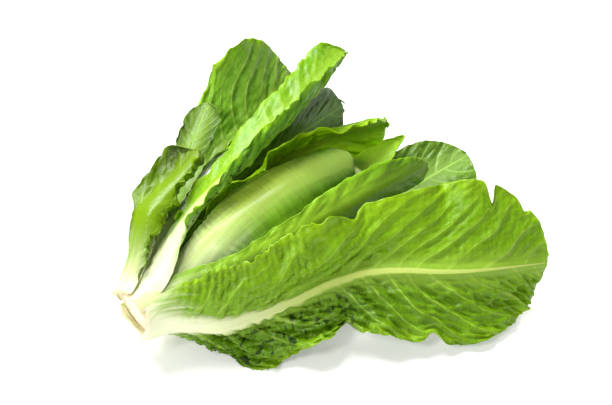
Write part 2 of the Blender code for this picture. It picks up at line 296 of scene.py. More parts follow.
def leaf_sheet(leaf_row, u, v):
    """The leaf's inner face, before it is pushed clear. u runs from foot to tip, v from side to side."""
    middle, outward, sideways, radius = midrib(leaf_row, u)
    opened = ease(u, 0, OPENED_BY)
    points = np.zeros((len(u), len(v), 3))
    for column, across in enumerate(v):
        side, roll_name, hug = SIDES[0 if across < 0 else 1]
        roll = np.radians(along(leaf_row[roll_name], u))[:, None]
        reach = sideways * np.cos(roll) + outward * np.sin(roll)
        facing = outward * np.cos(roll) - sideways * np.sin(roll)
        bend = (1 + (leaf_row["hug"][hug] - 1) * opened) / radius
        bend = np.where(np.abs(bend) < LEAST_BEND, LEAST_BEND, bend)
        arc = np.clip(bend * abs(across) * half_width(leaf_row, side, u), -MOST_CURL, MOST_CURL)
        points[:, column] = (
            middle + reach * (np.sign(across) * np.sin(arc) / bend)[:, None]
            - facing * ((1 - np.cos(arc)) / bend)[:, None]
        )
    if leaf_row["floor"] is not None:
        settle(points, leaf_row["floor"] * MM)
    return points


def half_widths(leaf_row, u, v):
    """For each row and column of the sheet, half the leaf's width on that side."""
    left, right = (half_width(leaf_row, side, u)[:, None] for side in ("left", "right"))
    return np.where(v < 0, left, right)


def leaf_thickness(leaf_row, u, v):
    """The blade's thickness, with the midrib standing on its outer side."""
    across = np.abs(v) * half_widths(leaf_row, u, v)
    down = 1 - u[:, None]
    blade = BLADE_AT_TIP + (BLADE_AT_BASE - BLADE_AT_TIP) * down
    rib_width = RIB_HALF_WIDTH_AT_TIP + (RIB_HALF_WIDTH_AT_BASE - RIB_HALF_WIDTH_AT_TIP) * down**0.8
    thinner_foot = 1 - 0.6 * np.exp(-((1 - down) / 0.12) ** 2)
    rise = RIB_RISE * leaf_row["rib"] * np.sqrt(down) * thinner_foot
    return blade + rise * np.exp(-((across / rib_width) ** 2))


# %% [markdown]
# ## Laying leaf on leaf
#
# A map around the head notes how far out it is filled. Each leaf is pushed out of what the map
# holds, and then noted in it, which is how the leaves of a real head press on each other.

# %% Pushing a leaf clear of the others
def finer(points):
    """The same sheet with FINER times as many rows and columns."""
    for _ in range(2):
        steps = [points[:-1] + (points[1:] - points[:-1]) * step / FINER for step in range(FINER)]
        inner = np.stack(steps, axis=1).reshape((-1,) + points.shape[1:])
        points = np.concatenate([inner, points[-1:]]).swapaxes(0, 1)
    return points


def cells(distance, turn):
    """The cells of the map that hold these distances and turns."""
    row = np.clip(np.rint(distance / DISTANCE_CELL).astype(int), 0, DISTANCE_CELLS - 1)
    return row, np.rint(turn / TURN_CELL).astype(int) % TURN_CELLS


def fill(taken, points):
    """Notes in the map the largest splay that these points reach in each cell."""
    distance, turn, splay = locate(points)
    np.maximum.at(taken, cells(distance, turn), splay)


def widened(taken):
    """The map with each cell as full as the fullest of the cells round it."""
    steps = [(row, turn) for row in (-1, 0, 1) for turn in (-1, 0, 1)]
    return np.max([np.roll(taken, step, axis=(0, 1)) for step in steps], axis=0)


def beside(grid):
    """The grid moved by one cell: up, down, left and right, with its edge cells repeated."""
    padded = np.pad(grid, ((1, 1), (1, 1)) + ((0, 0),) * (grid.ndim - 2), mode="edge")
    return padded[:-2, 1:-1], padded[2:, 1:-1], padded[1:-1, :-2], padded[1:-1, 2:]


def short_of_clear(points, taken, clearance):
    """How much more splay puts each point this far outside all that is in the map."""
    distance, turn, splay = locate(points)
    needed = widened(taken)[cells(distance, turn)]
    return np.where(needed > 0, needed + clearance / distance - splay, 0)


def push_clear(points, taken):
    """Moves a leaf's inner face outwards, smoothly, until it is clear of all that is in the map."""
    fine_push = short_of_clear(finer(points), taken, CLEARANCE)
    least = np.zeros(points.shape[:2])
    for steps in np.ndindex(2 * FINER - 1, 2 * FINER - 1):
        nearby = (
            np.clip(np.arange(count) * FINER + step + 1 - FINER, 0, most - 1)
            for count, step, most in zip(least.shape, steps, fine_push.shape)
        )
        least = np.maximum(least, fine_push[np.ix_(*nearby)])
    push = least
    for _ in range(3):
        push = np.maximum((sum(beside(push)) + 2 * push) / 6, least)
    distance, turn, splay = locate(points)
    return place(distance, turn, splay + push)


def note_core(taken):
    """Notes in the map the room that the core takes."""
    height = np.linspace(0, CORE_LENGTH, 200)
    from_root = ROOT_BEHIND_CUT + height
    distance = np.hypot(from_root, core_radius(height))
    splay = np.arctan2(core_radius(height), from_root)
    np.maximum.at(taken, np.rint(distance / DISTANCE_CELL).astype(int), splay[:, None])


def outward_normals(points):
    """The direction that each point of a leaf's grid faces, away from the head's axis."""
    return unit(np.cross(np.gradient(points, axis=1), np.gradient(points, axis=0)))


def row_and_column_steps(leaf_row):
    """Even steps for the plain leaf's rows and columns."""
    rows = max(FEWEST_ROWS, round(leaf_row["length"] * MM / ROW_LENGTH) + 2)
    return np.linspace(0, 1, rows + 1), np.linspace(-1, 1, LEAF_COLUMNS + 1)


def spread_rows(up):
    """Rows drawn closer at both ends."""
    return up - 0.1 * np.sin(2 * math.pi * up)


def spread_columns(across):
    """Columns drawn closer beside the midrib."""
    return across * (0.55 + 0.45 * across**2)


# %% [markdown]
# ## From the plain leaf to a fine sheet
#
# The plain leaf has a row about every 15 mm. A real leaf has detail down to a millimetre, so its
# sheet is read again at that spacing, as a smooth surface through the plain rows and columns.
# Reading it a little short of its margin, by a different amount at each row, gives the leaf its
# teeth, notches and tears.

# %% Reading a sheet finely
SHEET_STEP = 1.1 * MM
FOOT_STEP = 0.9 * MM
FOOT_DRAWN_TO = 0.3
FOOT_DRAWN_UP_TO = 45 * MM


def read_rows(values, row):
    """Rows of a grid read at fractional rows, smoothly."""
    last = len(values) - 1
    slope = np.gradient(values, axis=0)
    index = np.clip(row.astype(int), 0, last - 1)
    t = (row - index).reshape((-1,) + (1,) * (values.ndim - 1))
    return curved(t, values[index], slope[index], values[index + 1], slope[index + 1])


def read_columns(values, column):
    """Each row of a grid read at its own fractional columns, smoothly."""
    last = values.shape[1] - 1
    slope = np.gradient(values, axis=1)
    index = np.clip(column.astype(int), 0, last - 1)
    t = (column - index)[..., None]
    row = np.arange(len(values))[:, None]
    return curved(
        t, values[row, index], slope[row, index], values[row, index + 1], slope[row, index + 1])


# %% [markdown]
# ## Irregular by rule
#
# No two puckers of a leaf are alike, yet the part has to come out the same each time. So all that
# looks chance comes from tables of random numbers with a fixed seed: a smooth rise and fall, and
# the walls between cells grown from scattered points.

# %% Rise and fall, and cells
TABLE = 64


def rise_and_fall(seed, x, y=None):
    """Smooth irregular values between -1 and 1, about one hill for each unit of x and y."""
    y = np.zeros_like(x) if y is None else y
    table = np.random.default_rng(seed).uniform(-1, 1, (TABLE, TABLE))
    column = np.floor(x).astype(int)
    row = np.floor(y).astype(int)
    across = ease(x - column, 0, 1)
    down = ease(y - row, 0, 1)
    upper, lower = (
        table[at % TABLE, column % TABLE] * (1 - across)
        + table[at % TABLE, (column + 1) % TABLE] * across
        for at in (row, row + 1)
    )
    return upper * (1 - down) + lower * down


def cell_walls(seed, x, y):
    """How far each point is from the wall of its cell, 0 on the wall, in units of x and y."""
    table = np.random.default_rng(seed).uniform(0.1, 0.9, (TABLE, TABLE, 2))
    column = np.floor(x).astype(int)
    row = np.floor(y).astype(int)
    nearest = np.full(x.shape, 9.0)
    second = np.full(x.shape, 9.0)
    for row_step in (-1, 0, 1):
        for column_step in (-1, 0, 1):
            seed_point = table[(row + row_step) % TABLE, (column + column_step) % TABLE]
            away = np.hypot(
                column + column_step + seed_point[..., 0] - x,
                row + row_step + seed_point[..., 1] - y,
            )
            second = np.minimum(second, np.maximum(nearest, away))
            nearest = np.minimum(nearest, away)
    return second - nearest


def smoothed(values, times):
    """The same grid with each value drawn towards its neighbours."""
    for _ in range(times):
        up, down = beside(values)[:2]
        values = (up + 2 * values + down) / 4
        left, right = beside(values)[2:]
        values = (left + 2 * values + right) / 4
    return values


# %% [markdown]
# ## What each leaf is like
#
# The inner leaves are pale and nearly smooth, the outer ones green and puckered. Each leaf gets its
# own figures: how strongly it is puckered, how its margin waves, how deep its teeth are, how far
# apart its side veins leave the midrib, and which look it has.

# %% Each leaf's own figures
def skin(look, pucker, wave, teeth, **more):
    """pucker, wave and teeth are heights in mm. veins: their spacing in mm. lines, rib_shows: how
    clearly the side veins and the midrib show, 0 to 1. fleshy: how far up the smooth pale foot
    reaches, in mm. ribbed: the height in mm of the fine ripples across it. blistered: how much
    more the right side is puckered. net: how clearly the net of fine veins shows, 0 to 1.
    calm_from: how far up, in mm, the blade turns smoother and its margin even.
    notches: (side, place from foot to tip 0 to 1, width in mm, depth in mm)."""
    figures = dict(veins=17, lines=0.5, fleshy=50, ribbed=0.15, rib_shows=1.0, blistered=1.0,
                   net=1.0, calm_from=500, notches=())
    return dict(figures, look=look, pucker=pucker, wave=wave, teeth=teeth, **more)


SKINS = {
    "heart_leaf_1": skin("heart", 0.5, 1.0, 1.0),
    "heart_leaf_2": skin("heart", 0.5, 1.0, 1.0),
    "heart_leaf_3": skin("heart", 0.6, 1.5, 1.2),
    "heart_leaf_4": skin("heart", 0.6, 1.5, 1.2),
    "heart_leaf_5": skin("heart", 0.7, 1.5, 1.4),
    "heart_leaf_pale": skin("pale", 0.3, 0.6, 0.8, ribbed=0.7, lines=0.0, fleshy=200,
                            rib_shows=0.0, net=0.0),
    "back_leaf_small": skin("lime", 0.8, 2.0, 1.5),
    "back_leaf_ruffled": skin("lime", 2.6, 5.5, 3.0, lines=0.9),
    "front_leaf_folded": skin("folded", 1.5, 2.0, 1.5, lines=0.3, rib_shows=0.4),
    "back_leaf_round": skin("light", 1.3, 2.0, 1.4, lines=0.7),
    "back_leaf_dark": skin("grey", 0.9, 2.5, 1.8),
    "under_leaf_inner": skin("green", 1.2, 3.0, 2.5),
    "upper_leaf_long": skin("tall", 0.9, 2.0, 3.2, lines=0.3, blistered=3.0),
    "upper_leaf_broad": skin("deep", 2.0, 3.5, 2.6, veins=16, lines=0.9, fleshy=25, blistered=1.3),
    "left_leaf_back": skin("paler", 1.2, 3.5, 2.6, veins=11),
    "left_leaf_curled": skin("bright", 1.8, 4.0, 3.6, fleshy=15, ribbed=0.4, rib_shows=0.5,
                             lines=0.25),
    "under_leaf_middle": skin("green", 1.6, 4.0, 3.2),
    "left_leaf_short": skin("bright", 0.6, 1.5, 2.2, fleshy=25, ribbed=0.3, veins=9),
    "under_leaf_outer": skin("green", 1.6, 4.0, 3.2),
    "front_outer_leaf": skin(
        "front", 2.9, 5.0, 3.4, veins=21, ribbed=3.2, lines=0.62, fleshy=34, blistered=2.4,
        calm_from=110,
        notches=(("left", 0.86, 4, 14), ("left", 0.94, 6, 6), ("left", 0.52, 9, 5),
                 ("right", 0.70, 10, 8), ("right", 0.45, 16, 7)),
    ),
}


# %% [markdown]
# ## Veins, puckers and waves
#
# The side veins leave the midrib forwards at about 45 degrees and bend towards the tip, and each
# side's veins start between those of the other. The blade grows faster than its veins, so it
# domes between them: large soft domes between side veins, smaller ones between the net of finer
# veins. Towards the margin the surplus has nowhere to go and makes waves. A vein's number, whole
# along the vein, is also kept on the leaf so that the material can draw its line there.

# %% The relief of a leaf
FINE_CELL = 6.5
RIPPLE_SPACING = 4.6
# A vein slants, so the next one is nearer than their spacing along the midrib by this much.
VEIN_SLANT = 0.72


def calmed(figures, up_mm, most):
    """1 low on the leaf, falling to 1 - most where its blade is smoother."""
    return 1 - most * ease(up_mm, figures["calm_from"], figures["calm_from"] + 60)


def margin_cuts(leaf_row, figures, index, u):
    """How much of each side's half width is missing at each row, for teeth, notches and tears."""
    cuts = []
    length = leaf_row["length"]
    up = u * length
    for number, side in enumerate(("left", "right")):
        seed = 100 + 10 * index + number
        lobes = 0.5 + 0.5 * rise_and_fall(seed, up / 7)
        teeth = 0.5 + 0.5 * rise_and_fall(seed + 5, up / 2.6)
        missing = figures["teeth"] * (lobes + 0.8 * teeth) * calmed(figures, up, 0.75)
        for notch_side, notch_at, width, depth in figures["notches"]:
            if notch_side == side:
                missing = missing + depth * np.exp(-((up - notch_at * length) / width * 2) ** 2)
        cuts.append(missing * ease(u, 0.02, 0.2) * MM)
    return cuts


def relief(figures, index, up_mm, v, widths):
    """(inner relief, extra outer thickness, vein number), the heights in metres."""
    up = up_mm[:, None]
    edge = np.abs(v)
    out = edge * widths / MM
    left = v < 0
    seed = 300 + 20 * index
    signed = np.where(left, -out, out)

    sway = 4.5 * rise_and_fall(seed, up / 26, signed / 22 + 7)
    sway = sway + 0.6 * figures["veins"] * rise_and_fall(seed + 9, up / 30, signed / 38)
    leaving = 0.95 * out + 0.007 * out**2 + sway
    number = (up - leaving) / figures["veins"] + np.where(left, 0.5, 0.0) + 40
    beside_vein = np.abs((number + 0.5) % 1 - 0.5) * figures["veins"] * VEIN_SLANT
    from_rib = ease(out, 2, 9)
    fleshy = 1 - ease(up, 12, 12 + figures["fleshy"])
    vein_width = 1.7 - 1.0 * ease(edge, 0.1, 1.0)
    vein = np.exp(-((beside_vein / vein_width) ** 2)) * (1 - 0.55 * edge) * (1 - 0.6 * fleshy)

    between = ease(beside_vein, 0, 6.5)
    up_vein = number * figures["veins"] * VEIN_SLANT
    wall = cell_walls(seed + 1, up_vein / FINE_CELL + 0.15 * sway, out / (FINE_CELL * 1.1) + 9)
    fine_dome = ease(wall, 0.0, 0.5)
    patches = 0.65 + 0.35 * rise_and_fall(seed + 2, up / 24, signed / 18)
    more = np.where(left, 1.0, figures["blistered"])
    domes = 0.5 * between + 0.85 * more * fine_dome * (0.4 + 0.6 * between)
    crinkle = rise_and_fall(seed + 8, up_vein / 3.6, out / 12 + 3)
    pucker = figures["pucker"] * calmed(figures, up, 0.45) * from_rib * (
        patches * (1 - fleshy) * domes + 0.42 * more * crinkle * (1 - 0.8 * fleshy)
    )

    wobble = 1.2 * rise_and_fall(seed + 3, up / 14, signed / 11)
    ripple = figures["ribbed"] * np.sin(2 * math.pi * (up - 0.25 * out + wobble) / RIPPLE_SPACING)
    ripple *= ease(out, 5, 12) * ease(up, 15, 45) * calmed(figures, up, 0.85)
    ripple *= (0.5 + 0.5 * fleshy) * (0.5 + 0.5 * rise_and_fall(seed + 4, up / 15, signed / 15))

    long_wave = rise_and_fall(seed + 6, up / 24, np.where(left, 3.0, 11.0))
    short_wave = rise_and_fall(seed + 7, up / 8, np.where(left, 5.0, 13.0))
    waving = figures["wave"] * ease(up, 12, 60) * calmed(figures, up, 0.3)
    wave = waving * (1.1 * long_wave * edge**2 + 0.7 * short_wave * edge**4)

    streaks = 0.3 * rise_and_fall(seed + 10, signed / 1.9, up / 45) * from_rib * ease(up, 8, 30)
    inner = (wave - pucker + ripple + streaks * fleshy) * MM
    outer_ridges = 0.32 * figures["pucker"] ** 0.5 * vein * from_rib * MM
    return inner, outer_ridges, number


# %% [markdown]
# ## Making one leaf
#
# The fine sheet is a grid with a vertex for each row and column, set in place. Its thickness is
# kept in a vertex group, thin at the margin and thick at the midrib, and Solidify gives the sheet
# its outer face. The foot runs down the stump to the cut, because it has grown together with it.

# %% The leaf's sheet, clear of those inside it
SCENE_FOOT_BLADE = 1.5 * MM
SCENE_BLADE = 0.55 * MM
SCENE_MARGIN = 0.35 * MM
LEAST_HEIGHT = 0.5 * MM


def drawn_in(points):
    """The feet as they are grown together: near the cut, all is drawn in towards the stump."""
    height, turn, radius = from_axis(points)
    share = FOOT_DRAWN_TO + (1 - FOOT_DRAWN_TO) * ease(height, -5 * MM, FOOT_DRAWN_UP_TO)
    stump = core_radius(height)
    return round_axis(height, turn, np.where(radius > stump, stump + (radius - stump) * share, radius))


def foot_to_cut(foot, height):
    """Rows that carry a leaf's foot down the stump to the cut, and their heights above it."""
    heights = np.linspace(0.5 * MM, height, max(2, round(height / FOOT_STEP)), endpoint=False)
    foot_height, turn, radius = from_axis(foot)
    extra = radius - core_radius(foot_height)
    middle = turn[len(turn) // 2]
    from_middle = (turn - middle + math.pi) % (2 * math.pi) - math.pi
    share = (heights / height)[:, None]
    level = foot_height * share
    radius = core_radius(level) + extra * np.sqrt(1 - (1 - share) ** 2)
    return round_axis(level, middle + from_middle * (0.8 + 0.2 * share), radius), heights


def fine_sheet(leaf_row, inner, index):
    """(inner face, thickness, u, v, mm up from the foot, vein number, distance from the midrib)."""
    figures = SKINS[leaf_row["name"]]
    rows = len(inner) - 1
    widest = max(leaf_row["left"]) + max(leaf_row["right"])
    fine_columns = 2 * round(widest * MM / SHEET_STEP / 2 * 1.1)
    up = np.linspace(0, 1, round(leaf_row["length"] * MM / SHEET_STEP) + 1)
    v = np.linspace(-1, 1, fine_columns + 1)
    u = spread_rows(up)
    widths = half_widths(leaf_row, u, v)
    cuts = margin_cuts(leaf_row, figures, index, u)
    cut = np.where(v < 0, cuts[0][:, None], cuts[1][:, None])
    cut = np.minimum(cut / np.maximum(widths, MM), 0.6)
    kept = v * (1 - cut * np.abs(v) ** 3)
    plain = np.linspace(-1, 1, 401)
    column = (np.interp(kept, spread_columns(plain), plain) + 1) / 2 * LEAF_COLUMNS
    base = drawn_in(read_columns(read_rows(inner, up * rows), column))

    foot_rows, foot_heights = foot_to_cut(base[0], leaf_row["height"] * MM)
    base = np.concatenate([foot_rows, base])
    up_mm = np.concatenate([foot_heights / MM - leaf_row["height"], u * leaf_row["length"]])
    u = np.concatenate([np.zeros(len(foot_rows)), u])
    widths = np.concatenate([np.repeat(widths[:1], len(foot_rows), axis=0), widths])
    raised, ridges, number = relief(figures, index, up_mm, v, widths)
    facing = outward_normals(base)
    for _ in range(4):
        facing = sum(beside(facing)) / 4
    sheet = base + unit(facing) * raised[..., None]

    edge = np.abs(v)
    plump = np.exp(-np.maximum(up_mm, 0) / 22)[:, None]
    blade = SCENE_BLADE + (SCENE_FOOT_BLADE - SCENE_BLADE) * plump
    blade = blade + (SCENE_MARGIN - blade) * edge**2
    rib = leaf_thickness(leaf_row, u, v) - leaf_thickness(dict(leaf_row, rib=0.0), u, v)
    to_cut = np.clip(1 + up_mm / leaf_row["height"], 0, 1)[:, None]
    highest = np.maximum(rib.max(axis=1, keepdims=True), 1e-9)
    rib = highest * ease(rib / highest, 0, 1) * (0.1 + 0.85 * figures["rib_shows"])
    thickness = (blade + rib) * (0.15 + 0.85 * to_cut) + ridges
    return sheet, thickness, u, v, up_mm, number, widths * edge


def push_fine(sheet, up_mm, taken):
    """Moves a fine sheet outwards where it would cut into what the map holds, but for its foot."""
    distance, turn, splay = locate(sheet)
    push = np.clip(short_of_clear(sheet, taken, 0.1 * MM), 0, 4 * MM / distance)
    push *= ease(up_mm, 15, 50)[:, None]
    for _ in range(3):
        push = np.max([push, *beside(push)], axis=0)
    push = smoothed(push, 8)
    return place(distance, turn, splay + push)


# %% [markdown]
# ## The numbers a leaf carries
#
# Each vertex keeps how far it is along the leaf, how far across it, how near the midrib and which
# side veins it lies between. The materials read these, so a leaf's colours follow its own growth
# and not the place where it happens to lie. The leaf's flat millimetres are its UV map.

# %% Making a leaf's mesh
UV_MM = 100
WEIGHT_STEPS = 4000


def store(mesh, name, values):
    """Keeps one number for each vertex of the mesh under this name."""
    mesh.attributes.new(name, "FLOAT", "POINT").data.foreach_set(
        "value", np.asarray(values, np.float32).ravel())


def make_leaf(leaf_row, sheet, thickness, u, v, up_mm, number, out):
    """The leaf as a mesh object, with its numbers for the material."""
    rows, columns = len(u) - 1, len(v) - 1
    bpy.ops.mesh.primitive_grid_add(x_subdivisions=columns, y_subdivisions=rows, size=2)
    made = bpy.context.object
    made.name = "leaf_" + leaf_row["name"]
    made.data.name = made.name
    flat = np.empty(len(made.data.vertices) * 3)
    made.data.vertices.foreach_get("co", flat)
    flat = flat.reshape(-1, 3)
    row = np.rint((flat[:, 1] + 1) / 2 * rows).astype(int)
    column = np.rint((flat[:, 0] + 1) / 2 * columns).astype(int)
    placed = sheet + SHIFT
    placed[..., 2] = np.maximum(placed[..., 2], LEAST_HEIGHT)
    made.data.vertices.foreach_set("co", placed[row, column].ravel())

    corner = np.empty(len(made.data.loops), int)
    made.data.loops.foreach_get("vertex_index", corner)
    across_mm = np.where(v < 0, -out, out) / MM
    uv = np.stack([across_mm[row, column], up_mm[row]], axis=1)
    made.data.uv_layers[0].data.foreach_set("uv", uv[corner].ravel() / UV_MM)
    store(made.data, "along", u[row])
    store(made.data, "height_mm", (up_mm + leaf_row["height"])[row])
    store(made.data, "side", v[column])
    store(made.data, "out_mm", across_mm[row, column])
    store(made.data, "vein_number", number[row, column])

    group = made.vertex_groups.new(name="thickness")
    thickest = float(thickness.max())
    weight = np.rint(thickness[row, column] / thickest * WEIGHT_STEPS) / WEIGHT_STEPS
    for value in np.unique(weight):
        group.add(np.flatnonzero(weight == value).tolist(), float(value), "REPLACE")
    thickened = made.modifiers.new("thickened", "SOLIDIFY")
    thickened.thickness = thickest
    thickened.offset = 1
    thickened.vertex_group = "thickness"
    bpy.ops.object.modifier_apply(modifier=thickened.name)
    made.vertex_groups.clear()
    half = len(made.data.vertices) // 2
    store(made.data, "outer", np.repeat([0.0, 1.0], half))
    made.data.shade_smooth()
    return made


# %% All the leaves, from the heart outwards
taken = np.zeros((DISTANCE_CELLS, TURN_CELLS))
note_core(taken)
fine_taken = taken.copy()
leaves = []
for index, leaf_row in enumerate(LEAVES):
    steps_up, steps_across = row_and_column_steps(leaf_row)
    u = spread_rows(steps_up)
    v = spread_columns(steps_across)
    inner = push_clear(leaf_sheet(leaf_row, u, v), taken)
    outer = inner + outward_normals(inner) * leaf_thickness(leaf_row, u, v)[..., None]
    for part_way in (0, 0.5, 1):
        fill(taken, finer(inner + (outer - inner) * part_way))

    sheet, thickness, u, v, up_mm, number, out = fine_sheet(leaf_row, inner, index)
    sheet = push_fine(sheet, up_mm, fine_taken)
    outside = sheet + outward_normals(sheet) * thickness[..., None]
    for part_way in (0, 1):
        fill(fine_taken, sheet + (outside - sheet) * part_way)
    made = make_leaf(leaf_row, sheet, thickness, u, v, up_mm, number, out)
    leaves.append(made)
    corners = np.array([point.co for point in made.data.vertices])
    low, high = (np.array(corner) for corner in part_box(leaf_row["name"]))
    print(
        leaf_row["name"], len(made.data.polygons), "faces; beyond the solid, mm:",
        np.round((low - corners.min(axis=0)) / MM, 1), np.round((corners.max(axis=0) - high) / MM, 1),
    )
print("faces of all leaves:", sum(len(made.data.polygons) for made in leaves))


# %% [markdown]
# ## The stump
#
# The stump is the solid stem that the leaves grow from, cut straight across with a knife. It is
# round about the head's axis, so it is made as by hand from one small circle: each ring is
# extruded from the last, moved along the axis and resized. The cut face is a little hollow,
# because wet flesh shrinks as it dries, and a Displace modifier makes the whole uneven.

# %% The stump's shape
STUMP_SIDES = 96
STUMP_BUMPS = 0.7 * MM
rings = [(float(core_radius(height)), height) for height in np.linspace(0.985, 0.06, 30) * CORE_LENGTH]
rings += [(CORE_RADIUS * 0.995, 1.6 * MM), (CORE_RADIUS * 0.985, 0.8 * MM)]
rings += [(CORE_RADIUS * 0.96, 0.3 * MM), (CORE_RADIUS * 0.92, 0.1 * MM)]
for part_way in np.linspace(0.86, 0.03, 16):
    rings.append((CORE_RADIUS * part_way, (0.1 + 0.7 * (1 - part_way)) * MM))
bpy.ops.object.select_all(action="DESELECT")
bpy.ops.mesh.primitive_circle_add(
    vertices=STUMP_SIDES, radius=rings[0][0], location=(0, 0, rings[0][1]))
stump = bpy.context.object
stump.name = "stump"
bpy.ops.object.mode_set(mode="EDIT")
bpy.ops.mesh.select_all(action="SELECT")
for (last_radius, last_height), (radius, height) in zip(rings, rings[1:]):
    bpy.ops.mesh.extrude_edges_move(TRANSFORM_OT_translate={"value": (0, 0, height - last_height)})
    grown = radius / last_radius
    bpy.ops.transform.resize(value=(grown, grown, 1), center_override=(0, 0, height))
bpy.ops.mesh.select_all(action="SELECT")
bpy.ops.mesh.fill_holes(sides=STUMP_SIDES)
bpy.ops.mesh.normals_make_consistent(inside=False)
bpy.ops.object.mode_set(mode="OBJECT")
bpy.ops.object.transform_apply(location=True, rotation=True, scale=True)

flat = np.array([point.co for point in stump.data.vertices])
store(stump.data, "from_cut", flat[:, 2] / MM)
store(stump.data, "from_middle", np.hypot(flat[:, 0], flat[:, 1]) / MM)
uneven = stump.modifiers.new("uneven", "DISPLACE")
uneven.texture = bpy.data.textures.new("stump bumps", "CLOUDS")
uneven.texture.noise_scale = 6 * MM
uneven.strength = STUMP_BUMPS
bpy.ops.object.modifier_apply(modifier=uneven.name)
stump.rotation_mode = "QUATERNION"
stump.rotation_quaternion = mathutils.Vector(AXIS).to_track_quat("Z", "Y")
stump.location = ROOT + AXIS * ROOT_BEHIND_CUT + SHIFT
bpy.ops.object.transform_apply(location=True, rotation=True, scale=True)
stump.data.shade_smooth()
print("stump faces:", len(stump.data.polygons))


# %% [markdown]
# ## Colours and nodes
#
# Colours are written as the sRGB hex values that a colour chart gives, and turned to linear light
# once. One small function adds a node with its settings and links. A finish is mostly made of
# three recipes: an amount that is there only in some places, a sum, and colours laid over others.

# %% Helpers for materials
def linear(hex_colour):
    """A hex colour as linear red, green, blue and alpha."""
    channels = [int(hex_colour[start:start + 2], 16) / 255 for start in (0, 2, 4)]
    return (*(c / 12.92 if c <= 0.04045 else ((c + 0.055) / 1.055) ** 2.4 for c in channels), 1)


def feed(tree, made, inputs):
    """Sets a node's inputs, by name or in order, to plain values or to other nodes' outputs."""
    for key, value in inputs.items() if isinstance(inputs, dict) else enumerate(inputs):
        if isinstance(value, bpy.types.NodeSocket):
            tree.links.new(value, made.inputs[key])
        else:
            made.inputs[key].default_value = value


def node(tree, kind, inputs=(), output=0, **settings):
    """Adds a node with its settings and inputs, and gives one of its outputs."""
    made = tree.nodes.new("ShaderNode" + kind)
    for name, value in settings.items():
        setattr(made, name, value)
    feed(tree, made, inputs)
    return made.outputs[output]


def where(tree, amount, *places):
    """The amount, there only where each measure has gone smoothly from its start to its end."""
    for measure_start_end in places:
        share = node(tree, "MapRange", measure_start_end, interpolation_type="SMOOTHSTEP")
        amount = node(tree, "Math", (amount, share), operation="MULTIPLY")
    return amount


def added(tree, total, *terms):
    """The total with each value, times its factor, added to it."""
    for value, factor in terms:
        total = node(tree, "Math", (value, factor, total), operation="MULTIPLY_ADD")
    return total


def layered(tree, colour, *layers):
    """The colour with others laid over it, each by its own share."""
    for share, over in layers:
        colour = node(tree, "Mix", {0: share, 6: colour, 7: over}, 2, data_type="RGBA")
    return colour


def new_material(name):
    """(material, its tree, its Principled shader)"""
    made = bpy.data.materials.new(name)
    made.use_nodes = True
    return made, made.node_tree, made.node_tree.nodes["Principled BSDF"]


# %% [markdown]
# ## What a lettuce leaf looks like
#
# A leaf's blade is living green tissue under a thin coat of wax, which gives it a soft gloss. The
# midrib and the foot hold almost no green, so they are cream, and yellow-green higher up. The side
# veins and the net between them are paler than the blade, and the young margin is a brighter lime.
# Light also enters the blade and comes out near by, about as far off as the leaf is thick, so the
# shader has some subsurface scattering.
#
# A leaf's UV map holds UV_MM flat millimetres per unit, so a feature of 5 mm needs a scale of
# UV_MM / 5.

# %% The looks, from the heart to the outside
LOOK_PARTS = ("foot", "left", "right", "tip", "margin", "rib", "rib_tip", "vein")


def look(colours, *green):
    """The colours of LOOK_PARTS, and from how many mm above the cut to how many cream turns green."""
    return dict(zip(LOOK_PARTS, map(linear, colours.split())), green=green)


# Each look's right green is darker than its left: painted shade on the half of the leaf that is turned
# from the light.
LOOKS = {
    "heart": look("f8f9e2 d3dc86 cbd774 a6c534 aacb22 f6f8dc d9e492 ebf0b4", 20, 90),
    "pale": look("f4f8d4 9cb834 64940e 386a04 78aa00 ecf3c0 a4c23c bcd560", 14, 108),
    "lime": look("f0f6c4 a0d000 90c400 88be00 b0dc10 dce99a 98bb2a 9cc032", 15, 60),
    "light": look("f0f6c4 527416 4a6c12 4e7018 5c7e0c d4e498 94b850 94b85a", 15, 70),
    # In this look the light left green is partly the leaf's own green and partly a painted highlight on
    # its lit upper edge.
    "folded": look("f0f6c4 90c224 438402 478002 7cb004 dceb9c 8fb51c 98bd30", 10, 60),
    "tall": look("f4f8d2 74a800 427a00 5c9000 82b400 eef5c8 b4d25c a6c83c", 25, 80),
    # In this look the blade is darker low down than at the tip, painted shade of its low hollows.
    "deep": look("ecf4ba 70ac18 528c00 88ba38 88b808 eaf2bc a3c43c bcd864", 15, 50),
    "grey": look("ecf4ba 3a5812 32500e 3e5c18 527212 d4e492 86ae40 86ad4c", 15, 50),
    "paler": look("f4f8ca 5a7c14 54760e 3e5c18 5c7e0c e8f1b8 86ae40 94b84c", 40, 115),
    "bright": look("f6f9cc 5c7e00 486a00 2a4002 688a00 f2f7c4 769a00 8fb414", 8, 40),
    "green": look("f0f6c4 4f8a00 488200 458000 6ea600 e8f1b8 9cbf2c 90b822", 15, 60),
    "front": look("f6fbcc 78a800 5c8a00 72a200 8ab600 f7fad6 cadc72 a6c84a", 12, 52),
}
RIB_PALE = 2.6
RIB_PALE_MORE_AT_FOOT = 13.0
LETTUCE_IOR = 1.42


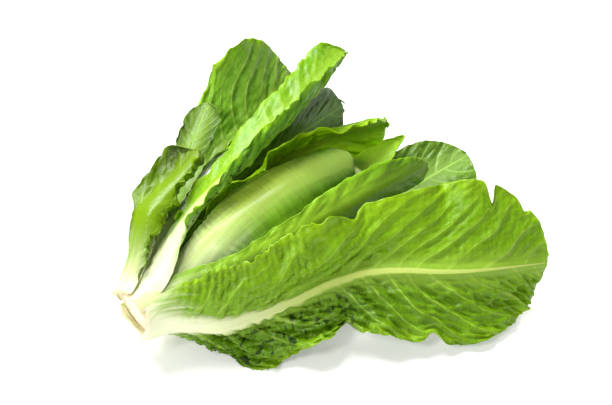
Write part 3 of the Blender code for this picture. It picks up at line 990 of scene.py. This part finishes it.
# %% The leaf material
def leaf_material(name, look, figures):
    """A leaf in one of the looks."""
    made, tree, shader = new_material(name)
    along, up, side, out, number, outer = (
        node(tree, "Attribute", output="Fac", attribute_name=each)
        for each in ("along", "height_mm", "side", "out_mm", "vein_number", "outer")
    )
    out, edge = (node(tree, "Math", (each,), operation="ABSOLUTE") for each in (out, side))
    uv = node(tree, "UVMap")
    patches, grain, hollow_shade_noise = (
        node(tree, "TexNoise", {"Vector": uv, "Scale": UV_MM / size_mm, "Detail": detail})
        for size_mm, detail in ((14, 3.0), (2.2, 2.0), (4.5, 3.0))
    )

    # Streaks drawn out up the leaf, and fine lines across it, which are painted light and shade of fine
    # ripples.
    stretched = [
        node(tree, "Mapping", {"Vector": uv, "Scale": (UV_MM / across_mm, UV_MM / along_mm, 1.0)})
        for across_mm, along_mm in ((2.4, 45.0), (24.0, 1.7))
    ]
    streaks, lines = (
        node(tree, "TexNoise", {"Vector": each, "Scale": 1.0, "Detail": 2.0}) for each in stretched
    )
    patchy, streaky, painted_ripple_shade = (added(tree, -0.5, (each, 1.0)) for each in (patches, streaks, lines))

    # The blade: one green to each side of the midrib, the right one darker as painted shade on the half
    # turned from the light, another at the tip, another at the margin.
    blade = layered(
        tree, look["left"],
        (where(tree, 1.0, (side, -0.3, 0.3)), look["right"]),
        (where(tree, 1.0, (along, 0.55, 1.0)), look["tip"]),
        (where(tree, 1.0, (edge, 0.72, 1.0), (patches, 0.25, 0.6)), look["margin"]),
    )
    shade = node(tree, "MapRange", (patches, 0.25, 0.75, 0.8, 1.12))
    # Painted light and shade of fine ripples: the fine lines across lighten and darken the blade, most on
    # leaves without a net of veins.
    shade = added(tree, shade, (painted_ripple_shade, 0.9 - 0.4 * figures["net"]))
    blade = node(tree, "HueSaturation", {"Color": blade, "Value": shade})

    # The net of fine veins, its cells about 2 mm wide. There is none where the foot is cream.
    reach = added(tree, up, (patchy, 16.0), (streaky, 50.0), (out, 0.8))
    greened = where(tree, 1.0, (reach, *look["green"]))
    creamy = added(tree, 1.0, (greened, -1.0))
    from_net = node(tree, "TexVoronoi", {"Vector": uv, "Scale": UV_MM / 2.0}, "Distance",
                    feature="DISTANCE_TO_EDGE")
    net_line = where(tree, greened, (from_net, 0.0, 0.16, 1.0, 0.0))
    net_shown = added(tree, 0.0, (net_line, 0.15 * figures["net"]))

    # Painted shade: dark spots in the puckered middle of the right side stand for the shade in the
    # hollows between its blisters.
    painted_hollow_shade = where(
        tree, 0.9 * min(figures["blistered"] - 1, 1), (hollow_shade_noise, 0.52, 0.62), (side, 0.1, 0.3),
        (side, 0.95, 0.7), (along, 0.1, 0.22), (along, 0.6, 0.42),
    )

    # The side veins, drawn where the vein number is whole, and thinner towards the margin.
    from_whole = node(tree, "Math", (number, 0.5), operation="PINGPONG")
    from_vein = added(tree, 0.0, (from_whole, figures["veins"] * VEIN_SLANT))
    thinner = node(tree, "MapRange", (edge, 0.0, 1.0, 1.0, 0.4))
    from_vein = node(tree, "Math", (from_vein, thinner), operation="DIVIDE")
    vein_line = where(
        tree, figures["lines"], (from_vein, 0.35, 1.25, 1.0, 0.0), (edge, 1.08, 0.7),
        (patches, 0.2, 0.6),
    )
    # Laid over the blade: the cream foot, a pale band beside the midrib, the net, painted shade of the
    # hollows in near black green, and the side veins.
    blade = layered(
        tree, blade, (creamy, look["foot"]), (where(tree, 0.4, (out, 3.0, 16.0, 1.0, 0.0)), look["vein"]),
        (net_shown, look["vein"]), (painted_hollow_shade, linear("183200")), (vein_line, look["vein"]),
    )

    # The midrib, cream at the foot and narrower towards the tip.
    rib = layered(tree, look["rib"], (where(tree, 1.0, (along, 0.03, 0.45)), look["rib_tip"]))
    narrowing = node(tree, "Math", (added(tree, 0.0, (up, -1 / 42)),), operation="EXPONENT")
    squared = added(tree, 0.0, (along, along))
    rib_width = added(
        tree, 1.05 * RIB_PALE, (narrowing, RIB_PALE_MORE_AT_FOOT), (squared, -RIB_PALE))
    from_rib = node(tree, "Math", (out, rib_width), operation="DIVIDE")
    on_rib = where(tree, 1.0, (from_rib, 0.7, 1.3, 1.0, 0.0))
    colour = layered(tree, blade, (added(tree, 0.0, (on_rib, figures["rib_shows"])), rib))

    # The inner face holds more of the green than the outer.
    face = node(tree, "MapRange", (outer, 0.0, 1.0, 0.8, 1.0))
    colour = node(tree, "HueSaturation", {"Color": colour, "Value": face})

    # The very foot was cut, and has gone a pinkish brown.
    above_cut = added(tree, up, (grain, 5.0))
    browned = where(tree, 0.45, (above_cut, 3.0, 8.5, 1.0, 0.0))
    colour = layered(tree, colour, (browned, linear("e0b896")))

    gloss = node(tree, "MapRange", (on_rib, 0.0, 1.0, 0.42 - 0.1 * figures["net"], 0.27))
    height = added(tree, 0.0, (net_line, 0.4 * figures["net"]), (grain, 0.6))
    feed(tree, shader, {
        "Base Color": colour, "Roughness": added(tree, gloss, (patchy, 0.12)),
        "Normal": node(tree, "Bump", {"Height": height, "Strength": 0.5, "Distance": 0.25 * MM}),
        "IOR": LETTUCE_IOR, "Specular IOR Level": 0.28, "Subsurface Weight": 0.3,
        "Subsurface Scale": 1.0 * MM, "Subsurface Radius": (1.0, 1.1, 0.2),
    })
    return made


# %% Every leaf gets its material, and rides on the head in the place of its plain solid
INNER_LEAVES = ("back_leaf_small", "back_leaf_ruffled", "front_leaf_folded", "back_leaf_round")
for made, leaf_row in zip(leaves, LEAVES):
    name = leaf_row["name"]
    finish = leaf_material("lettuce " + name.replace("_", " "), LOOKS[SKINS[name]["look"]], SKINS[name])
    made.data.materials.clear()
    made.data.materials.append(finish)
    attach(made, "root")
    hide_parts(name)
    outside = "inner_leaf" if name in INNER_LEAVES else "outer_leaf"

# %% [markdown]
# ## The cut stump's flesh
#
# Lettuce flesh is cream and wet where it is whole. Air turns a cut face pinkish brown, first in the
# ring of vessels near its edge, and leaves dark brown spots on the rim.

# %% The stump's material
flesh, tree, shader = new_material("lettuce stem flesh, knife cut")
place_on = node(tree, "TexCoord", output="Object")
from_cut, from_middle = (
    node(tree, "Attribute", output="Fac", attribute_name=each) for each in ("from_cut", "from_middle")
)
blotches, spots = (
    node(tree, "TexNoise", {"Vector": place_on, "Scale": 1000 / size_mm, "Detail": detail})
    for size_mm, detail in ((4.0, 4.0), (5.5, 1.0))
)
on_cut = where(tree, 1.0, (from_cut, 4.5, 0.4))
in_ring = where(tree, on_cut, (from_middle, 8.5, 15.0))
browned, darkened = (
    node(tree, "Math", (in_ring, node(tree, "MapRange", start_end)), operation="MULTIPLY")
    for start_end in ((blotches, 0.35, 0.62), (spots, 0.64, 0.7))
)
feed(tree, shader, {
    "Base Color": layered(
        tree, linear("f2f5d4"), (on_cut, linear("f3e6c0")), (browned, linear("cf9a6c")),
        (darkened, linear("5d3414")),
    ),
    "Normal": node(tree, "Bump", {"Height": blotches, "Strength": 0.4, "Distance": 0.3 * MM}),
    "Roughness": 0.45, "IOR": LETTUCE_IOR, "Subsurface Weight": 0.2, "Subsurface Scale": 2 * MM,
    "Subsurface Radius": (1.0, 0.8, 0.4),
})
stump.data.materials.clear()
stump.data.materials.append(flesh)
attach(stump, "root")
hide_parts("core_stem")
print("materials:", len(bpy.data.materials))

# %% [markdown]
# ## Floor, light and camera
#
# The head lies on a plain table of white acrylic, lit a little from below. One soft light hangs
# above and behind it, with a weaker one from the front left and white all round.

# %% The table
TABLE_SIZE = 12.0
bpy.ops.object.select_all(action="DESELECT")
bpy.ops.mesh.primitive_plane_add(size=TABLE_SIZE, location=(0, 0, 0))
table = bpy.context.object
table.name = "table"
white, tree, shader = new_material("white matt acrylic, lit from below")
feed(tree, shader, {
    "Base Color": linear("dcdcd8"), "Emission Color": linear("ffffff"), "Emission Strength": 0.3,
    "Roughness": 0.7, "Specular IOR Level": 0.2,
})
table.data.materials.append(white)
table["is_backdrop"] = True


# %% The lights
LIGHTS_AIMED_AT = mathutils.Vector((0, 0, 0.05))


def soft_light(name, place_at, size, watts):
    """A square area light aimed at the head."""
    bpy.ops.object.light_add(type="AREA", location=place_at)
    lamp = bpy.context.object
    lamp.name = name
    lamp.data.size = size
    lamp.data.energy = watts
    aim = LIGHTS_AIMED_AT - lamp.location
    lamp.rotation_euler = aim.to_track_quat("-Z", "Y").to_euler()


soft_light("top light", (-0.5, 0.4, 1.35), 0.8, 43)
soft_light("front light", (-0.6, -1.0, 1.1), 0.35, 12)
world = bpy.data.worlds.new("white studio")
world.use_nodes = True
tree = world.node_tree
feed(tree, tree.nodes["Background"], {"Color": (1, 1, 1, 1), "Strength": 0.4})
bpy.context.scene.world = world
bpy.context.scene.view_settings.view_transform = "Standard"

# %% [markdown]
# ## The camera
#
# The camera stands in front of the head and looks down on it by 38 degrees, from about a metre
# away with a lens long enough to keep the leaves in proportion. It is moved sideways and up, not
# turned, so that the cut lies at the lower left.

# %% The camera's place
LOOKING_DOWN = math.radians(38)
AWAY = 1.06
HEAD_RIGHT_OF_CUT = 0.1066
HEAD_ABOVE_CUT = 0.0683
view_along = np.array([0, math.cos(LOOKING_DOWN), -math.sin(LOOKING_DOWN)])
view_up = np.array([0, math.sin(LOOKING_DOWN), math.cos(LOOKING_DOWN)])
cut_middle = ROOT + AXIS * ROOT_BEHIND_CUT + SHIFT
aimed_at = cut_middle + np.array([HEAD_RIGHT_OF_CUT, 0, 0]) + view_up * HEAD_ABOVE_CUT
bpy.ops.object.camera_add(location=aimed_at - view_along * AWAY)
camera = bpy.context.object
camera.name = "camera"
camera.rotation_euler = (math.radians(90) - LOOKING_DOWN, 0, 0)
camera.data.lens = 100
camera.data.sensor_width = 36
bpy.context.scene.camera = camera
print("camera at, m:", np.round(camera.location, 3))

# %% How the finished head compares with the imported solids' box
visual_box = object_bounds()
for name, box in (("packed:", cad_box), ("visual:", visual_box)):
    print(name, [np.round(corner, 3).tolist() for corner in box])
